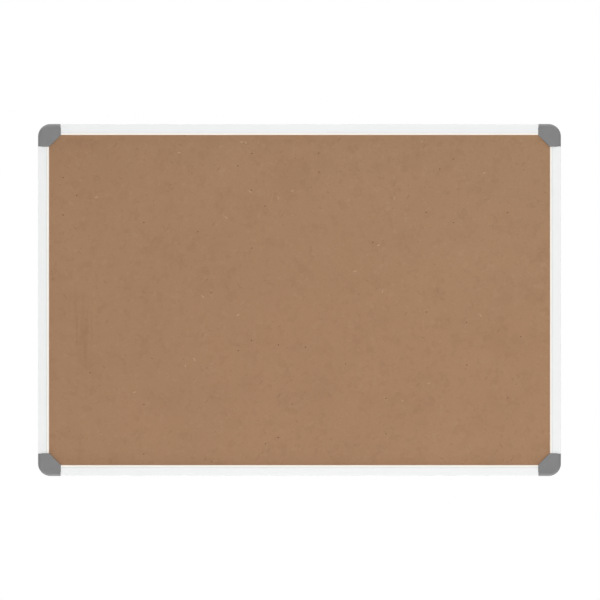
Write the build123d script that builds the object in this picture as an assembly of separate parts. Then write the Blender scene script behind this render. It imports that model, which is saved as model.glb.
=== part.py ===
from build123d import *
import os
from math import sqrt

# A framed cork bulletin board, in millimetres. Every piece is drawn lying on its back: x runs
# across the board, y runs up it, and z is the distance from the wall. stand_up() turns it upright,
# so that +Z is up and the front faces -Y. The origin is the centre of the back, which is also the
# centre of the four wall screw holes.

# Panel: its two overall sizes and its three layers
PANEL_WIDTH = 900.0
PANEL_HEIGHT = 600.0
CORK_THICKNESS = 2.0
CORE_THICKNESS = 8.0
BACKING_THICKNESS = 1.0

# Frame rail: a hollow extrusion with a slot for the panel and a bead along its inner edge
RAIL_WALL = 1.4
CHAMBER_WIDTH = 6.0
FLAT_FACE = 14.4
GROOVE_WIDTH = 1.0
GROOVE_DEPTH = 0.8
BEAD_FLAT = 2.2
BEAD_ROUND = 1.6
BEAD_HEIGHT = 3.4
BACK_FLANGE = 13.0
RAIL_FRONT_ROUND = 0.5
RAIL_BACK_ROUND = 0.5
SLOT_CLEARANCE = 0.1
EDGE_CLEARANCE = 0.2

# Corner cap: a moulded shell over the corner joint and the rails' cut ends
CAP_LEG = 40.0
CAP_WALL = 1.4
CAP_PROUD = 0.3
CAP_CORNER_ROUND = 22.0
CAP_SHOULDER_ROUND = 5.5
CAP_EDGE_ROUND = 0.5
CAP_LIP = 0.7
CAP_LIP_START = 7.0
CAP_OVER_RAIL = 0.1
CAP_END_GAP = 0.1
CAP_WALL_GAP = 0.6
CAP_CORK_GAP = 0.3
PEG_DIAMETER = 3.0
PEG_LENGTH = 7.0
PEG_CHAMFER = 0.4
PEG_SLIT = 0.6
PEG_ALONG = 28.0
PEG_ACROSS = 10.0

# Corner joint: a moulded block whose tongues push into the rails
JOINT_CLEARANCE = 0.3
JOINT_FLOOR = 3.0
JOINT_WALL = 2.0
JOINT_EDGE = 0.6
JOINT_PANEL_GAP = 0.3
TONGUE_LENGTH = 30.0
TONGUE_ROOT = 8.0
TONGUE_CLEARANCE = 0.15
TONGUE_CHAMFER = 1.2
SOCKET_CLEARANCE = 0.15
SOCKET_WALL = 1.8
SOCKET_SPARE = 0.6

# Wall screw hole through each corner joint
WALL_SCREW_INSET = 17.0
WALL_SCREW_HOLE = 5.0
HEAD_SPACE = 11.0
SCREW_SEAT = 5.0

# Self-tapping screw that fixes a rail to a tongue from the back
SCREW_DIAMETER = 2.9
SCREW_CORE = 2.2
SCREW_HEAD = 5.2
SCREW_HEAD_RIM = 0.15
SCREW_LENGTH = 9.5
SCREW_POINT = 1.8
SCREW_PITCH = 1.1
SCREW_CLEARANCE = 0.05
SCREW_FROM_END = 15.0
RECESS_LENGTH = 2.8
RECESS_WIDTH = 0.7
RECESS_DEPTH = 0.9

# Worked out from the sizes above: places counted inwards from a rail's outer face
SLOT_BOTTOM = 2 * RAIL_WALL + CHAMBER_WIDTH
PANEL_INSET = SLOT_BOTTOM + EDGE_CLEARANCE
BEAD_ROOT = FLAT_FACE + GROOVE_WIDTH
RAIL_FACE = BEAD_ROOT + BEAD_FLAT + BEAD_ROUND
CHAMBER_CENTRE = RAIL_WALL + CHAMBER_WIDTH / 2
CAP_END = CAP_LEG - CAP_LIP
RAIL_START = CAP_END + CAP_END_GAP
SKIRT_INSIDE = CAP_WALL - CAP_PROUD
JOINT_INSET = SKIRT_INSIDE + JOINT_CLEARANCE
BOARD_WIDTH = PANEL_WIDTH + 2 * PANEL_INSET
BOARD_HEIGHT = PANEL_HEIGHT + 2 * PANEL_INSET

# Distances from the wall
PANEL_BACK = RAIL_WALL + SLOT_CLEARANCE
CORE_BACK = PANEL_BACK + BACKING_THICKNESS
CORK_BACK = CORE_BACK + CORE_THICKNESS
PANEL_FRONT = CORK_BACK + CORK_THICKNESS
SLOT_FRONT = PANEL_FRONT + SLOT_CLEARANCE
FRAME_DEPTH = SLOT_FRONT + BEAD_HEIGHT
CAP_UNDERSIDE = FRAME_DEPTH + CAP_OVER_RAIL
CAP_FRONT = CAP_UNDERSIDE + CAP_WALL
JOINT_FRONT = CAP_UNDERSIDE - JOINT_CLEARANCE
CHAMBER_FRONT = FRAME_DEPTH - RAIL_WALL

# The 45 degree edges of a corner, each as the value of x + y along it
BOSS_RADIUS = HEAD_SPACE / 2 + JOINT_WALL
JOINT_REACH = 2 * WALL_SCREW_INSET + sqrt(2) * (BOSS_RADIUS + JOINT_EDGE)
PANEL_CORNER_CUT = JOINT_REACH + sqrt(2) * JOINT_PANEL_GAP - 2 * PANEL_INSET
CAP_REACH = CAP_LEG + RAIL_FACE

# Each corner: its side of the board across and up, and its turn from the bottom left one
CORNERS = {
    "bottom_left": (-1, -1, 0),
    "bottom_right": (1, -1, 90),
    "top_right": (1, 1, 180),
    "top_left": (-1, 1, 270),
}
# Each rail: its length, the board's size across it, and its turn from the bottom one
RAILS = {
    "bottom_rail": (BOARD_WIDTH, BOARD_HEIGHT, 0),
    "right_rail": (BOARD_HEIGHT, BOARD_WIDTH, 90),
    "top_rail": (BOARD_WIDTH, BOARD_HEIGHT, 180),
    "left_rail": (BOARD_HEIGHT, BOARD_WIDTH, 270),
}


def stand_up(shape):
    """Turns a piece that lies on its back upright."""
    return Rot(90, 0, 0) * shape


def at_corner(shape, corner):
    """Moves a piece drawn with the board's bottom left corner at the origin to a corner."""
    across, up, turn = CORNERS[corner]
    return Pos(across * BOARD_WIDTH / 2, up * BOARD_HEIGHT / 2, 0) * Rot(0, 0, turn) * shape


def block(low, high):
    """A box between two corners."""
    size = [b - a for a, b in zip(low, high)]
    return Pos(*low) * Box(*size, align=(Align.MIN, Align.MIN, Align.MIN))


def post(x, y, diameter, low, high):
    """An upright cylinder between two heights."""
    upright = (Align.CENTER, Align.CENTER, Align.MIN)
    return Pos(x, y, low) * Cylinder(diameter / 2, high - low, align=upright)


def both_ways(shape):
    """A piece and its twin across the corner's diagonal, where x and y change places."""
    return [shape, mirror(shape, about=Plane((0, 0, 0), z_dir=(1, -1, 0)))]


def panel_layer(back, thickness):
    """One layer of the panel, with its corners cut off to clear the corner joints."""
    sheet = Rectangle(PANEL_WIDTH, PANEL_HEIGHT)
    return Pos(0, 0, back) * extrude(chamfer(sheet.vertices(), PANEL_CORNER_CUT), thickness)


def rail_section():
    """The extrusion's section: x inwards from its outer face, y from the wall."""
    bead_centre = (RAIL_FACE - BEAD_ROUND, FRAME_DEPTH - BEAD_ROUND)
    back_and_slot = Polyline(
        (0, FRAME_DEPTH),
        (0, 0),
        (BACK_FLANGE, 0),
        (BACK_FLANGE, RAIL_WALL),
        (SLOT_BOTTOM, RAIL_WALL),
        (SLOT_BOTTOM, CHAMBER_FRONT),
        (BEAD_ROOT, CHAMBER_FRONT),
        (BEAD_ROOT, SLOT_FRONT),
        (RAIL_FACE, SLOT_FRONT),
        (RAIL_FACE, FRAME_DEPTH - BEAD_ROUND),
    )
    bead = CenterArc(bead_centre, BEAD_ROUND, 0, 90)
    face_and_groove = Polyline(
        (RAIL_FACE - BEAD_ROUND, FRAME_DEPTH),
        (BEAD_ROOT, FRAME_DEPTH),
        (BEAD_ROOT, FRAME_DEPTH - GROOVE_DEPTH),
        (FLAT_FACE, FRAME_DEPTH - GROOVE_DEPTH),
        (FLAT_FACE, FRAME_DEPTH),
        (0, FRAME_DEPTH),
    )
    section = make_face(back_and_slot + bead + face_and_groove)
    outer = section.vertices().filter_by_position(Axis.X, 0, 0).sort_by(Axis.Y)
    section = fillet(outer[-1], RAIL_FRONT_ROUND)
    outer = section.vertices().filter_by_position(Axis.X, 0, 0).sort_by(Axis.Y)
    section = fillet(outer[0], RAIL_BACK_ROUND)
    chamber = Rectangle(CHAMBER_WIDTH, CHAMBER_FRONT - RAIL_WALL)
    return section - Pos(CHAMBER_CENTRE, FRAME_DEPTH / 2) * chamber


def rail(board_length, board_across, turn):
    """One rail, cut square where the corner caps begin, with a screw hole near each end."""
    length = board_length - 2 * RAIL_START
    bar = Pos(-length / 2, 0, 0) * extrude(Plane.YZ * rail_section(), length, dir=(1, 0, 0))
    for end in (-1, 1):
        bar -= Pos(end * (length / 2 - SCREW_FROM_END), CHAMBER_CENTRE, 0) * screw_space()
    return Rot(0, 0, turn) * Pos(0, -board_across / 2, 0) * bar


def turned(points):
    """The solid that an outline of radius and height makes when it is turned about z."""
    return revolve(Plane.XZ * make_face(Polyline(*points, close=True)), Axis.Z)


def head_outline(clearance):
    """The countersunk head's outline, from its centre at the back to its neck."""
    head = SCREW_HEAD / 2 + clearance
    neck = SCREW_DIAMETER / 2 + clearance
    return [(0, 0), (head, 0), (head, SCREW_HEAD_RIM), (neck, SCREW_HEAD_RIM + head - neck)]


def screw_space():
    """What a rail and a tongue leave out for one screw."""
    outline = head_outline(SCREW_CLEARANCE)
    bottom = SCREW_LENGTH + SCREW_CLEARANCE
    return turned([*outline, (outline[-1][0], bottom), (0, bottom)])


def rail_screw():
    """A countersunk self-tapping screw, its thread drawn as rings of the same pitch."""
    outline = head_outline(0)
    height = outline[-1][1]
    while height + SCREW_PITCH < SCREW_LENGTH - SCREW_POINT:
        outline.append((SCREW_CORE / 2, height + SCREW_PITCH / 2))
        outline.append((SCREW_DIAMETER / 2, height + SCREW_PITCH))
        height += SCREW_PITCH
    outline.append((SCREW_CORE / 2, height + SCREW_PITCH / 2))
    screw = turned([*outline, (0, SCREW_LENGTH)])
    for turn in (0, 90):
        slot = Box(RECESS_LENGTH, RECESS_WIDTH, 2 * RECESS_DEPTH)
        screw -= Rot(0, 0, turn) * slot
    return screw


def rail_screws():
    """The eight screws: two at each corner, one for each rail that ends there."""
    screw = Pos(RAIL_START + SCREW_FROM_END, CHAMBER_CENTRE, 0) * rail_screw()
    return [at_corner(copy, corner) for corner in CORNERS for copy in both_ways(screw)]


def corner_plan(inset, leg, reach):
    """A corner seen from the front: a square of two legs from an inset to their ends, rounded
    about the caps' common centre and cut off at 45 degrees where x + y is the reach."""
    side = leg - inset
    square = Pos(inset, inset) * Rectangle(side, side, align=(Align.MIN, Align.MIN))
    outer = square.vertices().sort_by_distance((0, 0, 0))[0]
    square = fillet(outer, CAP_CORNER_ROUND - CAP_PROUD - inset)
    beyond = make_face(Polyline((reach, 0), (reach, reach), (0, reach), close=True))
    return square - beyond


def shouldered(plan, inset, low, high, radius):
    """A plan raised between two heights, its front edge rounded along the board's outside."""
    solid = Pos(0, 0, low) * extrude(plan, high - low)
    front = solid.edges().filter_by_position(Axis.Z, high, high)
    arc = front.filter_by(GeomType.CIRCLE)
    sides = front.filter_by_position(Axis.X, inset, inset) + front.filter_by_position(
        Axis.Y, inset, inset
    )
    return fillet(arc + sides, radius)


def joint_plan():
    """The corner joint seen from the front: a leg in line with each rail and the cut square."""
    length = RAIL_START - CAP_CORNER_ROUND
    width = SLOT_BOTTOM - JOINT_INSET
    low_corner = (Align.MIN, Align.MIN)
    plan = corner_plan(JOINT_INSET, RAIL_START, JOINT_REACH)
    plan += Pos(CAP_CORNER_ROUND, JOINT_INSET) * Rectangle(length, width, align=low_corner)
    plan += Pos(JOINT_INSET, CAP_CORNER_ROUND) * Rectangle(width, length, align=low_corner)
    return plan


def joint_hollow():
    """What is cored out of the joint from the front, up to the solid roots of the tongues."""
    side = RAIL_START - TONGUE_ROOT
    inside = offset(joint_plan(), -JOINT_WALL, kind=Kind.INTERSECTION)
    inside &= Rectangle(side, side, align=(Align.MIN, Align.MIN))
    return Pos(0, 0, JOINT_FLOOR) * extrude(inside, JOINT_FRONT)


def tongue():
    """The tongue that fills the chamber of the rail along x, pierced for its screw."""
    low = RAIL_WALL + TONGUE_CLEARANCE
    bar = block(
        (RAIL_START, low, low),
        (RAIL_START + TONGUE_LENGTH, SLOT_BOTTOM - low, FRAME_DEPTH - low),
    )
    bar = chamfer(bar.faces().sort_by(Axis.X)[-1].edges(), TONGUE_CHAMFER)
    return bar - Pos(RAIL_START + SCREW_FROM_END, CHAMBER_CENTRE, 0) * screw_space()


def corner_joint():
    """The joint of the bottom left corner: floor, rim, screw boss, peg sockets and tongues."""
    radius = CAP_SHOULDER_ROUND - CAP_WALL - JOINT_CLEARANCE
    socket = PEG_DIAMETER + 2 * SOCKET_CLEARANCE
    socket_bottom = CAP_UNDERSIDE - PEG_LENGTH - SOCKET_SPARE
    joint = shouldered(joint_plan(), JOINT_INSET, 0, JOINT_FRONT, radius) - joint_hollow()
    joint += post(WALL_SCREW_INSET, WALL_SCREW_INSET, 2 * BOSS_RADIUS, 0, JOINT_FRONT)
    joint += both_ways(post(PEG_ALONG, PEG_ACROSS, socket + 2 * SOCKET_WALL, 0, JOINT_FRONT))
    joint += both_ways(tongue())
    joint -= both_ways(post(PEG_ALONG, PEG_ACROSS, socket, socket_bottom, CAP_FRONT))
    joint -= post(WALL_SCREW_INSET, WALL_SCREW_INSET, WALL_SCREW_HOLE, -SCREW_SEAT, CAP_FRONT)
    return joint - post(WALL_SCREW_INSET, WALL_SCREW_INSET, HEAD_SPACE, SCREW_SEAT, CAP_FRONT)


def peg():
    """One of the cap's split pegs, pointing back from its front plate."""
    tip = CAP_UNDERSIDE - PEG_LENGTH
    pin = post(PEG_ALONG, PEG_ACROSS, PEG_DIAMETER, tip, CAP_UNDERSIDE + CAP_WALL / 2)
    pin = chamfer(pin.edges().sort_by(Axis.Z)[0], PEG_CHAMFER)
    slit = Box(PEG_SLIT, 2 * PEG_DIAMETER, PEG_LENGTH)
    return pin - Pos(PEG_ALONG, PEG_ACROSS, tip) * slit


def cap_lip():
    """The strip of the front plate that runs on over the end of the rail along x."""
    start = CAP_LIP_START - CAP_PROUD
    plan = Polyline(
        (CAP_END - CAP_WALL, start),
        (CAP_LEG, start),
        (CAP_LEG, RAIL_FACE),
        (CAP_END, CAP_REACH - CAP_END),
        (CAP_END - CAP_WALL, RAIL_FACE),
        close=True,
    )
    return Pos(0, 0, CAP_UNDERSIDE) * extrude(make_face(plan), CAP_WALL)


def soften_plate(cap):
    """Rounds the front plate's edges along the cork and over the two rails."""
    front = cap.edges().filter_by_position(Axis.Z, CAP_FRONT, CAP_FRONT)
    ends = front.filter_by_position(Axis.X, CAP_LEG, CAP_LEG)
    ends += front.filter_by_position(Axis.Y, CAP_LEG, CAP_LEG)
    diagonal = front.sort_by(lambda edge: edge.center().X + edge.center().Y)[-1]
    return fillet([*ends, diagonal], CAP_EDGE_ROUND)


def corner_cap():
    """The cap of the bottom left corner: a shell open towards the wall and the two rails."""
    inner_round = CAP_SHOULDER_ROUND - CAP_WALL
    past_end = CAP_LEG + CAP_WALL
    outside = corner_plan(-CAP_PROUD, CAP_END, CAP_REACH)
    cap = shouldered(outside, -CAP_PROUD, CAP_WALL_GAP, CAP_FRONT, CAP_SHOULDER_ROUND)
    inside = corner_plan(SKIRT_INSIDE, past_end, CAP_REACH - sqrt(2) * CAP_WALL)
    cap -= shouldered(inside, SKIRT_INSIDE, 0, CAP_UNDERSIDE, inner_round)
    over_cork = corner_plan(SKIRT_INSIDE, past_end, 2 * past_end)
    cap -= extrude(over_cork, PANEL_FRONT + CAP_CORK_GAP)
    cap += both_ways(cap_lip())
    return soften_plate(cap) + both_ways(peg())


def export(name, *solids):
    """Writes one named piece, upright, as its own file."""
    upright = [stand_up(solid) for solid in solids]
    piece = upright[0] if len(upright) == 1 else Compound(upright)
    export_step(piece, f"parts/{name}.step")


os.makedirs("parts", exist_ok=True)
export("backing_sheet", panel_layer(PANEL_BACK, BACKING_THICKNESS))
export("softboard_core", panel_layer(CORE_BACK, CORE_THICKNESS))
export("cork_sheet", panel_layer(CORK_BACK, CORK_THICKNESS))
for name, sizes in RAILS.items():
    export(name, rail(*sizes))
for corner in CORNERS:
    export(f"corner_joint_{corner}", at_corner(corner_joint(), corner))
    export(f"corner_cap_{corner}", at_corner(corner_cap(), corner))
export("rail_screws", *rail_screws())
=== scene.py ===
import math

import bmesh
import bpy
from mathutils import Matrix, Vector, noise


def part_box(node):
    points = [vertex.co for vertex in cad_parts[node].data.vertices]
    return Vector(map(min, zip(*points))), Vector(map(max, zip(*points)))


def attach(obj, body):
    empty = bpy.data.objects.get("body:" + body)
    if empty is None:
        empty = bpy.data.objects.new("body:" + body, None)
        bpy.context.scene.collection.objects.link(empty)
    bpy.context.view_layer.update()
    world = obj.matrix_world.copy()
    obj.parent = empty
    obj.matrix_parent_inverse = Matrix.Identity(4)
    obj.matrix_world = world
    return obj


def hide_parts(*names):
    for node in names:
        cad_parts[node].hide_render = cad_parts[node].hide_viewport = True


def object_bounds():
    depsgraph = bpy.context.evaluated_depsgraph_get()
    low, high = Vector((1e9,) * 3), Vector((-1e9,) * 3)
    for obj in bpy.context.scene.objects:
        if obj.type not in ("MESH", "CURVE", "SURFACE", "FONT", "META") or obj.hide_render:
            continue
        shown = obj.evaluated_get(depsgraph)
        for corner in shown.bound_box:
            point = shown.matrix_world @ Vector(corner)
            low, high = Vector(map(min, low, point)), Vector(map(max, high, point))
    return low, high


# A cork bulletin board seen square on, in metres: +X right, +Z up, the cork faces -Y.

# Camera: the width that the picture covers at the board's front, how far to the right of the
# board's middle it looks, and a long lens
VIEW_WIDTH = 1.0532
VIEW_OFFSET = 0.0009
LENS_MM = 200.0
SENSOR_MM = 36.0

# Room: a pale floor below the hanging board, white all round but giving less light from the
# front, and another strength in reflections, a long soft box above the board and one below it,
# and a large soft box in front
FLOOR_BELOW = 1.15
FLOOR_RADIUS = 5.0
ROOM_FRONT = 0.40
ROOM_BACK = 1.0
ROOM_MIRRORED = 0.75
STRIP_AWAY = 1.05
STRIP_FORWARD = 0.05
STRIP_SIZE = (2.2, 0.35)
STRIP_POWER = 7.0
FRONT_SIZE = (3.0, 3.0)
FRONT_PLACE = (0.25, -5.0, 0.0)
FRONT_POWER = 117.0

# Cork sheet: spacing of the relief's points, how deep its hollows go, the scales of its noises, and
# how near to the edge a point counts as on it
CORK_STEP = 0.0026
CORK_RELIEF = 0.00007
RELIEF_SCALES = (38.0, 110.0, 260.0)
ON_EDGE = 0.00001

# Cork colours, and how much further up and to the right the yellower brown shows
CORK_PINKER = (0.3725, 0.2130, 0.1210)
CORK_YELLOWER = (0.3655, 0.2175, 0.1230)
CORK_TOP_YELLOWER = 2.6
CORK_RIGHT_YELLOWER = 0.9
CORK_BARK = (0.190, 0.095, 0.045)
CORK_CHIP = (0.620, 0.470, 0.310)
CORK_SPECK = (0.075, 0.034, 0.018)

# Cork grains and a finer pattern of crumbs over them, as how many there are in a metre
GRAINS = 560.0
CRUMBS = 1500.0

# Soft dabs in the cork: their shift, their scale, the noise that they start at and are full at,
# their strength and their colour
DABS = (
    ((6, 0, 3), 20.0, 0.56, 0.62, 0.055, CORK_BARK),
    ((2, 0, 7), 56.0, 0.57, 0.63, 0.095, CORK_BARK),
    ((5, 0, 1), 115.0, 0.58, 0.64, 0.070, CORK_BARK),
    ((3, 0, 5), 62.0, 0.60, 0.68, 0.045, CORK_CHIP),
    ((8, 0, 4), 140.0, 0.61, 0.68, 0.050, CORK_CHIP),
)

# Small marks in the cork: the scale of their ragged outlines and how soft those are, as a share of
# the size, then sets of marks by their size, the share of the cells that has one, the cells in a
# metre, their turn, how much longer than wide they are, and their shift
RAGGED = (900, 900)
MARK_SOFT = 0.35
HAIRS = (
    (0.0011, 0.07, 60.0, 0.9, 5.0, (0.3, 0.1)),
    (0.0010, 0.06, 60.0, -0.5, 4.0, (0.7, 0.4)),
    (0.0010, 0.05, 60.0, 2.2, 5.0, (0.1, 0.9)),
)
CHIPS = (
    (0.0011, 0.022, 55.0, 0.35, 3.0, (0, 0)),
    (0.0009, 0.014, 55.0, 1.3, 3.0, (0.5, 0.2)),
    (0.0010, 0.014, 55.0, 2.4, 3.5, (0.8, 0.5)),
)
STRONG_SPECKS = ((0.0011, 0.042, 55.0, 0.0, 1.3, (0.2, 0.8)),)
WEAK_SPECKS = (
    (0.0010, 0.08, 70.0, 0.5, 1.5, (0.7, 0.7)),
    (0.0008, 0.08, 110.0, 1.4, 1.3, (0.6, 0.3)),
)

# How strongly each kind of mark shows, and a weak speck beside a strong one
RUB_SHOWS = 0.17
HAIRS_SHOW = 0.34
CHIPS_SHOW = 0.40
SPECKS_SHOW = 0.78
WEAK_TO_STRONG = 0.34

# Where the cork is rubbed, across and up the board, how far that reaches sideways, the share of
# its height that counts, so that it reaches further up and down, and the scale of its streaks
RUB_PLACE = (-0.388, -0.0545)
RUB_REACH = 0.048
RUB_HEIGHT_COUNTS = 0.55
RUB_STREAKS = (150, 9)

# Rails, counted outwards from the edge on the cork: the bead, the part of it that is fully tinted
# and its painted warm reflection of the cork, then the groove's middle, its half width and the soft
# edge beyond that, and the dust and painted shade in it, painted weaker along the top and the
# bottom, where the soft boxes above and below light the groove
RAIL_WHITES = ((0.836, 0.843, 0.843), (0.866, 0.873, 0.872))
RAIL_SMUDGE = (0.80, 0.81, 0.82)
BEAD_WIDTH = 0.0038
BEAD_TINTED = 0.0029
BEAD_REFLECTED_CORK = (0.930, 0.882, 0.810)
GROOVE_MIDDLE = 0.0043
GROOVE_HALF = 0.0004
GROOVE_FADE = 0.0002
GROOVE_DUST_AND_SHADE = (0.700, 0.745, 0.725)
TOP_GROOVE_SHADE = 0.25
BOTTOM_GROOVE_SHADE = 0.75

# The other materials, each between two colours. The hardboard also has pale fibres, painted
# shade in the screen's hollows and the scale of the screen that it was pressed on.
CAP_GREYS = ((0.196, 0.196, 0.197), (0.207, 0.207, 0.207))
JOINT_GREYS = ((0.048, 0.048, 0.052), (0.066, 0.066, 0.070))
HARDBOARD_BROWNS = ((0.166, 0.091, 0.047), (0.190, 0.108, 0.056))
HARDBOARD_FIBRE = (0.34, 0.215, 0.125)
HARDBOARD_HOLLOW_SHADE = (0.085, 0.043, 0.022)
HARDBOARD_SCREEN = 1100.0
SOFTBOARD_BROWNS = ((0.20, 0.135, 0.08), (0.39, 0.275, 0.175))
ZINC_GREYS = ((0.60, 0.61, 0.63), (0.47, 0.475, 0.47))
FLOOR_WHITES = ((0.86, 0.86, 0.855), (0.90, 0.90, 0.895))

MIDDLE = (0, 0, 0)
BOARD = "board"
CORNERS = ("top_left", "top_right", "bottom_left", "bottom_right")


# Node helpers


class Tree:
    """The nodes of one material or world, added by short calls."""

    def __init__(self, owner):
        owner.use_nodes = True
        self.tree = owner.node_tree
        self.tree.nodes.clear()

    def add(self, kind, settings=None, **inputs):
        """Adds a node. An input is a value or another node's output, and _ stands for a space."""
        made = self.tree.nodes.new("ShaderNode" + kind)
        for name, value in (settings or {}).items():
            setattr(made, name, value)
        for name, value in inputs.items():
            self.set(made.inputs[name.replace("_", " ")], value)
        return made

    def set(self, socket, value):
        """Gives a socket a value, or links another node's output to it."""
        if isinstance(value, bpy.types.NodeSocket):
            self.tree.links.new(value, socket)
        elif socket.type == "RGBA" and len(value) == 3:
            socket.default_value = (*value, 1.0)
        else:
            socket.default_value = value

    def math(self, operation, first, second=0.0, third=0.0):
        """One sum on up to three values or other nodes' outputs."""
        made = self.tree.nodes.new("ShaderNodeMath")
        made.operation = operation
        for socket, value in zip(made.inputs, (first, second, third)):
            self.set(socket, value)
        return made.outputs[0]

    def mix(self, factor, first, second, blend="MIX"):
        """The first colour, taken towards the second by a factor."""
        made = self.tree.nodes.new("ShaderNodeMix")
        made.data_type = "RGBA"
        made.blend_type = blend
        for index, value in ((0, factor), (6, first), (7, second)):
            self.set(made.inputs[index], value)
        return made.outputs[2]

    def spread(self, value, low, high, to_low=0.0, to_high=1.0):
        """A value's range from low to high, stretched to another range and held at its ends."""
        made = self.add("MapRange", {"clamp": True}, Value=value)
        for name, number in (
            ("From Min", low),
            ("From Max", high),
            ("To Min", to_low),
            ("To Max", to_high),
        ):
            made.inputs[name].default_value = number
        return made.outputs["Result"]

    def axes(self, kind="Object"):
        """The point's place on the object, or another coordinate, as separate X, Y and Z."""
        where = self.add("TexCoord").outputs[kind]
        return self.add("SeparateXYZ", Vector=where).outputs

    def place(self, scale=(1, 1, 1), turn=(0, 0, 0), move=(0, 0, 0)):
        """The point's place on the object, scaled, turned and moved."""
        where = self.add("TexCoord").outputs["Object"]
        made = self.add("Mapping", Vector=where, Location=move, Rotation=turn, Scale=scale)
        return made.outputs["Vector"]

    def noise(self, place, scale, detail=2.0, rough=0.5, distort=0.0):
        """Soft noise about 0.5."""
        made = self.add(
            "TexNoise", Vector=place, Scale=scale, Detail=detail, Roughness=rough, Distortion=distort
        )
        return made.outputs["Fac"]

    def cells(self, place, scale, feature="F1", flat=False):
        """A cell pattern: it has Distance, and Color with one random colour a cell."""
        settings = {"feature": feature, "voronoi_dimensions": "2D" if flat else "3D"}
        return self.add("TexVoronoi", settings, Vector=place, Scale=scale).outputs

    def channel(self, colour, name):
        """One channel of a colour."""
        return self.add("SeparateColor", Color=colour).outputs[name]

    def facing(self, scale=(1, 1), turn=0.0, move=(0, 0)):
        """The place across and up the board as a flat vector, moved, turned and then scaled."""
        axes = self.axes()
        flat = self.add("CombineXYZ", X=axes["X"], Y=axes["Z"])
        made = self.add(
            "Mapping",
            {"vector_type": "TEXTURE"},
            Vector=flat.outputs["Vector"],
            Location=(*move, 0),
            Rotation=(0, 0, turn),
            Scale=(1 / scale[0], 1 / scale[1], 1),
        )
        return made.outputs["Vector"]

    def bump(self, height, distance, strength):
        """A normal tilted by a height, for the surface's finest shape."""
        made = self.add("Bump", Height=height, Distance=distance, Strength=strength)
        return made.outputs["Normal"]

    def surface(self, **inputs):
        """Ends the material with a principled surface."""
        shader = self.add("BsdfPrincipled", **inputs)
        output = self.tree.nodes.new("ShaderNodeOutputMaterial")
        self.tree.links.new(shader.outputs[0], output.inputs[0])


def new_material(name):
    """An empty material and the tree that its nodes are added to."""
    material = bpy.data.materials.new(name)
    return material, Tree(material)


# Materials


def sparse_marks(t, size, share, scale, turn, stretch, move):
    """A mask of separate small marks: one in a few cells, each about size across, and longer
    than wide by the stretch. share is the part of the cells that has one."""
    place = t.facing((scale / stretch, scale), turn, move)
    cell = t.cells(place, 1.0, flat=True)
    chosen = t.math("GREATER_THAN", t.channel(cell["Color"], "Red"), 1 - share)
    ragged = t.noise(t.facing(RAGGED), 1.0, 1.0)
    reach = t.math("MULTIPLY", ragged, 2 * size * scale)
    near = t.math("SUBTRACT", reach, cell["Distance"])
    return t.math("MULTIPLY", chosen, t.spread(near, 0.0, MARK_SOFT * size * scale))


def any_of(t, *masks):
    """Several masks laid over each other."""
    laid = masks[0]
    for mask in masks[1:]:
        laid = t.math("MAXIMUM", laid, mask)
    return laid


def all_marks(t, sets):
    """The mask of several sets of small marks."""
    return any_of(t, *(sparse_marks(t, *one_set) for one_set in sets))


def wandering_place(t, scale, reach):
    """The point's place, pushed about by noise so that a cell pattern's edges turn ragged."""
    push = t.add("TexNoise", Vector=t.place(), Scale=scale, Detail=2.0).outputs["Color"]
    push = t.add("VectorMath", {"operation": "SCALE"}, Vector=push, Scale=reach)
    place = t.add("VectorMath", {"operation": "ADD"})
    t.set(place.inputs[0], t.place())
    t.set(place.inputs[1], push.outputs["Vector"])
    return place.outputs["Vector"]


def rub_marks(t):
    """Faint upright smears in one patch near the left side, where the board was handled."""
    streaks = t.noise(t.facing(RUB_STREAKS, 0.0, (0.37, 0.2)), 1.0, 2.0, 0.45)
    away = t.add("VectorMath", {"operation": "DISTANCE"})
    t.set(away.inputs[0], t.facing((1, RUB_HEIGHT_COUNTS)))
    t.set(away.inputs[1], (RUB_PLACE[0], RUB_HEIGHT_COUNTS * RUB_PLACE[1], 0))
    inside = t.spread(away.outputs["Value"], 0.25 * RUB_REACH, RUB_REACH, 1.0, 0.0)
    return t.math("MULTIPLY", inside, t.spread(streaks, 0.47, 0.62))


def cork_browns(t):
    """The cork's two browns: pinker low and left, yellower high and right, with wavering bounds,
    and yellower again in small blotches."""
    place = t.axes()
    drift = t.noise(t.place(), 5.5, 4.0, 0.6, 0.5)
    zone = t.math("MULTIPLY_ADD", place["Z"], CORK_TOP_YELLOWER, drift)
    zone = t.math("MULTIPLY_ADD", place["X"], CORK_RIGHT_YELLOWER, zone)
    colour = t.mix(t.spread(zone, 0.50, 1.40), CORK_PINKER, CORK_YELLOWER)
    blotch = t.noise(t.place(), 30.0, 5.0, 0.66, 0.6)
    return t.mix(t.spread(blotch, 0.46, 0.60, 0.0, 0.25), colour, CORK_YELLOWER)


def cork_shade(t, tone, crumb_tone, seams):
    """How light the cork is: painted light makes it a little lighter to the right and low down; it
    also drifts broadly and finely, differs from grain to grain, and is darker along the grains'
    seams."""
    place = t.axes()
    shade = t.spread(t.noise(t.place(), 6.5, 3.0, 0.55), 0.3, 0.7, 0.975, 1.025)
    for factor in (
        # Painted light: a little lighter to the right and towards the bottom.
        t.spread(place["X"], -0.42, 0.42, 0.966, 1.036),
        t.spread(place["Z"], -0.28, 0.28, 1.012, 0.988),
        t.spread(tone, 0.0, 1.0, 0.988, 1.012),
        t.spread(crumb_tone, 0.0, 1.0, 0.992, 1.008),
        t.spread(seams, 0.0, 0.09, 0.955, 1.0),
        t.spread(t.noise(t.place(), 80.0, 4.0, 0.62, 0.6), 0.3, 0.7, 0.987, 1.013),
    ):
        shade = t.math("MULTIPLY", shade, factor)
    return t.add("CombineColor", Red=shade, Green=shade, Blue=shade).outputs[0]


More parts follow.
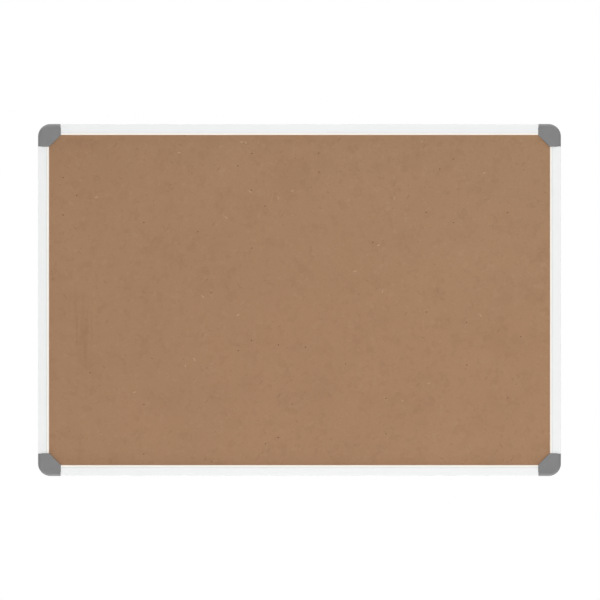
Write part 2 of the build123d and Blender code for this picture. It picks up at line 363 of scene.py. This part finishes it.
def cork():
    """Fine agglomerated cork: pressed grains in two close browns, with soft darker and paler dabs,
    small dark bark specks, a few pale chips and short hairs, and a patch of rub marks."""
    material, t = new_material("cork")
    grain_place = wandering_place(t, 420.0, 0.0011)
    tone = t.channel(t.cells(grain_place, GRAINS)["Color"], "Red")
    seams = t.cells(grain_place, GRAINS, "DISTANCE_TO_EDGE")["Distance"]
    crumb_tone = t.channel(t.cells(grain_place, CRUMBS)["Color"], "Green")
    colour = t.mix(1.0, cork_browns(t), cork_shade(t, tone, crumb_tone, seams), "MULTIPLY")

    for move, scale, low, high, strength, towards in DABS:
        dabs = t.noise(t.place(move=move), scale, 2.5, 0.6, 0.25)
        colour = t.mix(t.spread(dabs, low, high, 0.0, strength), colour, towards)
    chips = all_marks(t, CHIPS)
    weak_specks = t.math("MULTIPLY", all_marks(t, WEAK_SPECKS), WEAK_TO_STRONG)
    specks = any_of(t, all_marks(t, STRONG_SPECKS), weak_specks)
    for marks, shows, towards in (
        (rub_marks(t), RUB_SHOWS, CORK_BARK),
        (all_marks(t, HAIRS), HAIRS_SHOW, CORK_BARK),
        (chips, CHIPS_SHOW, CORK_CHIP),
        (specks, SPECKS_SHOW, CORK_SPECK),
    ):
        colour = t.mix(t.math("MULTIPLY", marks, shows), colour, towards)

    height = t.math("MULTIPLY", t.spread(seams, 0.0, 0.22), 0.55)
    for part, share in (
        (tone, 0.25),
        (t.noise(t.place(), 2600.0, 2.0), 0.35),
        (specks, -0.8),
        (chips, 0.3),
    ):
        height = t.math("MULTIPLY_ADD", part, share, height)
    t.surface(
        Base_Color=colour,
        Roughness=t.spread(t.noise(t.place(), 900.0, 2.0), 0.3, 0.7, 0.80, 0.95),
        Specular_IOR_Level=0.22,
        Sheen_Weight=0.06,
        Sheen_Roughness=0.6,
        Normal=t.bump(height, 0.00016, 0.45),
    )
    return material


def anodised(name, along, inner_edge, groove_shade=1.0):
    """White anodised aluminium: fine die lines along the bar, faint handling smudges, a painted warm
    reflection of the cork on the bead next to it, and dust with painted shade in the groove.
    inner_edge is how far out from the board's middle the bead's edge lies."""
    material, t = new_material(name)
    out = t.math("ABSOLUTE", t.axes()["Z" if along == "X" else "X"])
    lines_scale = [2400.0, 2400.0, 2400.0]
    lines_scale["XYZ".index(along)] = 3.0
    lines = t.noise(t.place(lines_scale), 1.0, 3.0, 0.65)
    grit = t.noise(t.place(), 5200.0, 1.0)
    smudge = t.noise(t.place(), 34.0, 4.0, 0.6, 0.5)
    white = t.mix(t.spread(lines, 0.3, 0.7), *RAIL_WHITES)
    white = t.mix(t.spread(smudge, 0.5, 0.75, 0.0, 0.12), white, RAIL_SMUDGE)
    # Painted reflection: the bead next to the cork is tinted warm, as if it mirrored the cork.
    cork_reflection = t.spread(out, inner_edge + BEAD_TINTED, inner_edge + BEAD_WIDTH, 1.0, 0.0)
    white = t.mix(cork_reflection, white, BEAD_REFLECTED_CORK)
    # Dust and painted shade in the groove, painted weaker on the rails that the soft boxes light.
    off_groove = t.math("ABSOLUTE", t.math("SUBTRACT", out, inner_edge + GROOVE_MIDDLE))
    groove = t.spread(off_groove, GROOVE_HALF, GROOVE_HALF + GROOVE_FADE, 1.0, 0.0)
    dust_and_shade = t.math("MULTIPLY", groove, t.spread(smudge, 0.3, 0.7, 0.55 * groove_shade, 0.95 * groove_shade))
    white = t.mix(dust_and_shade, white, GROOVE_DUST_AND_SHADE)
    dulled = t.spread(smudge, 0.4, 0.8, 0.0, 0.08)
    fine = t.math("ADD", t.math("MULTIPLY", lines, 0.8), t.math("MULTIPLY", grit, 0.35))
    t.surface(
        Base_Color=white,
        Metallic=0.15,
        Roughness=t.math("ADD", t.spread(lines, 0.25, 0.75, 0.27, 0.36), dulled),
        Specular_IOR_Level=0.5,
        Coat_Weight=0.25,
        Coat_Roughness=0.18,
        Normal=t.bump(fine, 0.000012, 0.5),
    )
    return material


def moulded(name, low, high, roughness, texture_depth):
    """Moulded plastic: a fine spark-eroded texture, faint flow mottling and small rub marks."""
    material, t = new_material(name)
    mottle = t.noise(t.place(), 60.0, 3.0, 0.55, 0.8)
    speckle = t.noise(t.place(), 3200.0, 2.0, 0.6)
    pits = t.cells(t.place(), 2300.0)["Distance"]
    colour = t.mix(t.spread(mottle, 0.35, 0.65), low, high)
    speck = [1.5 * c for c in high]
    colour = t.mix(t.spread(speckle, 0.55, 0.8, 0.0, 0.12), colour, speck)
    rubs = t.noise(t.place((30, 30, 900), (0.3, 0.5, 0.2)), 1.0, 2.0, 0.5, 1.5)
    rubbed = t.spread(rubs, 0.66, 0.78, 0.0, 0.07)
    uneven = t.spread(speckle, 0.3, 0.7, roughness - 0.06, roughness + 0.06)
    height = t.math("ADD", t.math("MULTIPLY", pits, 0.6), t.math("MULTIPLY", speckle, 0.5))
    t.surface(
        Base_Color=colour,
        Roughness=t.math("ADD", uneven, rubbed),
        Specular_IOR_Level=0.5,
        Normal=t.bump(height, texture_depth, 0.6),
    )
    return material


def hardboard():
    """Brown hardboard, its back embossed by the fine wire screen it was pressed on, with painted
    shade in the screen's hollows.
    """
    material, t = new_material("hardboard")
    waves = [
        t.add(
            "TexWave",
            {"wave_type": "BANDS", "bands_direction": axis},
            Vector=t.facing(),
            Scale=HARDBOARD_SCREEN,
            Distortion=0.6,
            Detail=1.0,
        ).outputs["Fac"]
        for axis in "XY"
    ]
    screen = t.math("MULTIPLY", *waves)
    fibres = t.noise(t.facing((520, 95), 0.6), 1.0, 4.0, 0.65, 1.2)
    fibres_back = t.noise(t.facing((110, 560), 0.3), 1.0, 4.0, 0.65, 1.2)
    fleck = t.spread(t.math("MAXIMUM", fibres, fibres_back), 0.58, 0.74)
    broad = t.noise(t.place(), 9.0, 4.0, 0.6)
    colour = t.mix(t.spread(broad, 0.35, 0.65), *HARDBOARD_BROWNS)
    colour = t.mix(t.math("MULTIPLY", fleck, 0.45), colour, HARDBOARD_FIBRE)
    # Painted shade: darker where the screen's pattern is low.
    colour = t.mix(t.spread(screen, 0.0, 0.45, 0.38, 0.0), colour, HARDBOARD_HOLLOW_SHADE)
    height = t.math("ADD", screen, t.math("MULTIPLY", fleck, 0.5))
    t.surface(
        Base_Color=colour,
        Roughness=t.spread(fleck, 0.0, 1.0, 0.62, 0.8),
        Specular_IOR_Level=0.3,
        Normal=t.bump(height, 0.00012, 0.7),
    )
    return material


def softboard():
    """Grey-brown wood fibre, matted and crumbly."""
    material, t = new_material("softboard")
    matted = t.noise(t.place((500, 1800, 500)), 1.0, 5.0, 0.7, 1.0)
    colour = t.mix(t.spread(matted, 0.35, 0.65), *SOFTBOARD_BROWNS)
    t.surface(
        Base_Color=colour,
        Roughness=0.95,
        Specular_IOR_Level=0.15,
        Sheen_Weight=0.15,
        Normal=t.bump(matted, 0.0003, 0.8),
    )
    return material


def zinc():
    """Zinc-plated steel, lightly brushed, dull in the hollows of the plating."""
    material, t = new_material("zinc")
    brushed = t.noise(t.place((3800, 600, 3800)), 1.0, 3.0, 0.6)
    bloom = t.noise(t.place(), 700.0, 3.0, 0.6, 0.6)
    colour = t.mix(t.spread(bloom, 0.4, 0.7), *ZINC_GREYS)
    t.surface(
        Base_Color=colour,
        Metallic=1.0,
        Roughness=t.spread(bloom, 0.3, 0.7, 0.24, 0.42),
        Normal=t.bump(brushed, 0.00002, 0.5),
    )
    return material


def floor_paint():
    """Pale matt floor."""
    material, t = new_material("floor_paint")
    cloudy = t.noise(t.place(), 2.5, 3.0)
    t.surface(
        Base_Color=t.mix(cloudy, *FLOOR_WHITES),
        Roughness=t.spread(t.noise(t.place(), 60.0), 0.3, 0.7, 0.75, 0.9),
        Specular_IOR_Level=0.1,
    )
    return material


# Pieces


def paint(node, material):
    """Gives a CAD node a better material in every one of its slots."""
    for material_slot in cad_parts[node].material_slots:
        material_slot.material = material


def relief(point):
    """How far the cork's surface lies below its highest level at a point."""
    total = sum(
        noise.noise(Vector((point.x, 0, point.z)) * scale + Vector((scale, 0, 0))) / (1 + i)
        for i, scale in enumerate(RELIEF_SCALES)
    )
    return CORK_RELIEF * min(1.0, max(0.0, 0.5 + 0.5 * total))


def cork_surface(material):
    """The cork sheet: a finely divided front with a gentle pressed relief, its corners cut off
    as on the CAD sheet, closed by its edges and back."""
    low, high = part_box("cork_sheet")
    points = [v.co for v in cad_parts["cork_sheet"].data.vertices]
    cut = high.x - max(point.x for point in points if point.z > high.z - ON_EDGE)
    across = round((high.x - low.x) / CORK_STEP)
    up = round((high.z - low.z) / CORK_STEP)
    bm = bmesh.new()
    bmesh.ops.create_grid(bm, x_segments=across, y_segments=up, size=0.5)
    for v in bm.verts:
        v.co = Vector((v.co.x * (high.x - low.x), low.y, v.co.y * (high.z - low.z)))
    for x_side in (-1, 1):
        for z_side in (-1, 1):
            bmesh.ops.bisect_plane(
                bm,
                geom=bm.verts[:] + bm.edges[:] + bm.faces[:],
                plane_co=(x_side * (high.x - cut), low.y, z_side * high.z),
                plane_no=(x_side, 0, z_side),
                clear_outer=True,
            )
    bmesh.ops.recalc_face_normals(bm, faces=bm.faces)
    if sum(f.normal.y for f in bm.faces) > 0:
        bmesh.ops.reverse_faces(bm, faces=bm.faces)
    rim = [e for e in bm.edges if e.is_boundary]
    edge_of_front = {v for e in rim for v in e.verts}
    for v in bm.verts:
        if v not in edge_of_front:
            v.co.y += relief(v.co)
    for f in bm.faces:
        f.smooth = True
    sides = bmesh.ops.extrude_edge_only(bm, edges=rim)["geom"]
    back = [g for g in sides if isinstance(g, bmesh.types.BMVert)]
    for v in back:
        v.co.y = high.y
    bmesh.ops.holes_fill(bm, edges=[e for e in bm.edges if e.is_boundary])
    bmesh.ops.recalc_face_normals(bm, faces=bm.faces)
    mesh = bpy.data.meshes.new("cork_surface")
    bm.to_mesh(mesh)
    bm.free()
    mesh.materials.append(material)
    piece = bpy.data.objects.new("cork_surface", mesh)
    bpy.context.scene.collection.objects.link(piece)
    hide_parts("cork_sheet")
    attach(piece, BOARD)


def make_floor(level):
    """A pale flat round floor at a level below the hanging board."""
    bm = bmesh.new()
    bmesh.ops.create_circle(bm, cap_ends=True, segments=96, radius=FLOOR_RADIUS)
    mesh = bpy.data.meshes.new("floor")
    bm.to_mesh(mesh)
    bm.free()
    mesh.materials.append(floor_paint())
    floor = bpy.data.objects.new("floor", mesh)
    floor.location.z = level
    bpy.context.scene.collection.objects.link(floor)


# Light and camera


def surroundings():
    """White all round. As light it is dimmer in front of the board, where a soft box is, than
    behind it, and it is even in reflections and to the eye."""
    world = bpy.data.worlds.new("surroundings")
    bpy.context.scene.world = world
    t = Tree(world)
    path = t.add("LightPath")
    light = t.spread(t.axes("Generated")["Y"], 0.0, 0.4, ROOM_FRONT, ROOM_BACK)
    mirrored = t.math("SUBTRACT", ROOM_MIRRORED, light)
    strength = t.math("MULTIPLY_ADD", path.outputs["Is Glossy Ray"], mirrored, light)
    strength = t.math("MAXIMUM", strength, path.outputs["Is Camera Ray"])
    background = t.add("Background", Color=(1, 1, 1), Strength=strength)
    output = t.tree.nodes.new("ShaderNodeOutputWorld")
    t.tree.links.new(background.outputs[0], output.inputs[0])


def softbox(name, place, target, size, power, mirrored=True):
    """A rectangular light aimed at a point. One that isn't mirrored leaves no glare."""
    light = bpy.data.lights.new(name, "AREA")
    light.shape = "RECTANGLE"
    light.size, light.size_y = size
    light.energy = power
    lamp = bpy.data.objects.new(name, light)
    lamp.location = place
    lamp.rotation_euler = (Vector(target) - Vector(place)).to_track_quat("-Z", "Y").to_euler()
    lamp.visible_camera = False
    lamp.visible_glossy = mirrored
    bpy.context.scene.collection.objects.link(lamp)


def make_camera(low, high):
    """Square on to the board, far enough back for the long lens to cover the view's width."""
    camera = bpy.data.cameras.new("camera")
    camera.lens = LENS_MM
    camera.sensor_width = SENSOR_MM
    eye = bpy.data.objects.new("camera", camera)
    distance = VIEW_WIDTH * LENS_MM / SENSOR_MM
    eye.location = ((low.x + high.x) / 2 + VIEW_OFFSET, low.y - distance, (low.z + high.z) / 2)
    eye.rotation_euler = (math.radians(90), 0, 0)
    camera.clip_end = 4 * distance
    bpy.context.scene.collection.objects.link(eye)
    bpy.context.scene.camera = eye


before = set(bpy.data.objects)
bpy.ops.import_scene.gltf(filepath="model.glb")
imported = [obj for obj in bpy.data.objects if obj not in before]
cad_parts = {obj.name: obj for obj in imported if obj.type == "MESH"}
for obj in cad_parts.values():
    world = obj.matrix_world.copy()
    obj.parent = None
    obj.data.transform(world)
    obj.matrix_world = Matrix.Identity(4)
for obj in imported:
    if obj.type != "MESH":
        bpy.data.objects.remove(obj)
cad_low, cad_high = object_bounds()

cork_surface(cork())
inner_edge_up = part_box("top_rail")[0].z
# The top and bottom rails share one material, with weaker painted groove shade where the soft boxes
# above and below light them.
rail_at_top = anodised("anodised_at_top", "X", inner_edge_up, TOP_GROOVE_SHADE)
rail_at_bottom = anodised("anodised_at_bottom", "X", inner_edge_up, BOTTOM_GROOVE_SHADE)
rail_upright = anodised("anodised_upright", "Z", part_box("right_rail")[0].x)
cap_plastic = moulded("cap_plastic", *CAP_GREYS, 0.46, 0.00005)
joint_plastic = moulded("joint_plastic", *JOINT_GREYS, 0.5, 0.00006)
for node, material in (
    ("top_rail", rail_at_top),
    ("bottom_rail", rail_at_bottom),
    ("left_rail", rail_upright),
    ("right_rail", rail_upright),
    ("softboard_core", softboard()),
    ("backing_sheet", hardboard()),
    ("rail_screws", zinc()),
):
    paint(node, material)
for corner in CORNERS:
    paint(f"corner_cap_{corner}", cap_plastic)
    paint(f"corner_joint_{corner}", joint_plastic)

make_floor(cad_low.z - FLOOR_BELOW)
surroundings()
for name, side in (("above", 1), ("below", -1)):
    softbox(name, (0, -STRIP_FORWARD, side * STRIP_AWAY), MIDDLE, STRIP_SIZE, STRIP_POWER)
softbox("front", FRONT_PLACE, MIDDLE, FRONT_SIZE, FRONT_POWER, mirrored=False)
make_camera(cad_low, cad_high)
bpy.context.scene.view_settings.view_transform = "Standard"
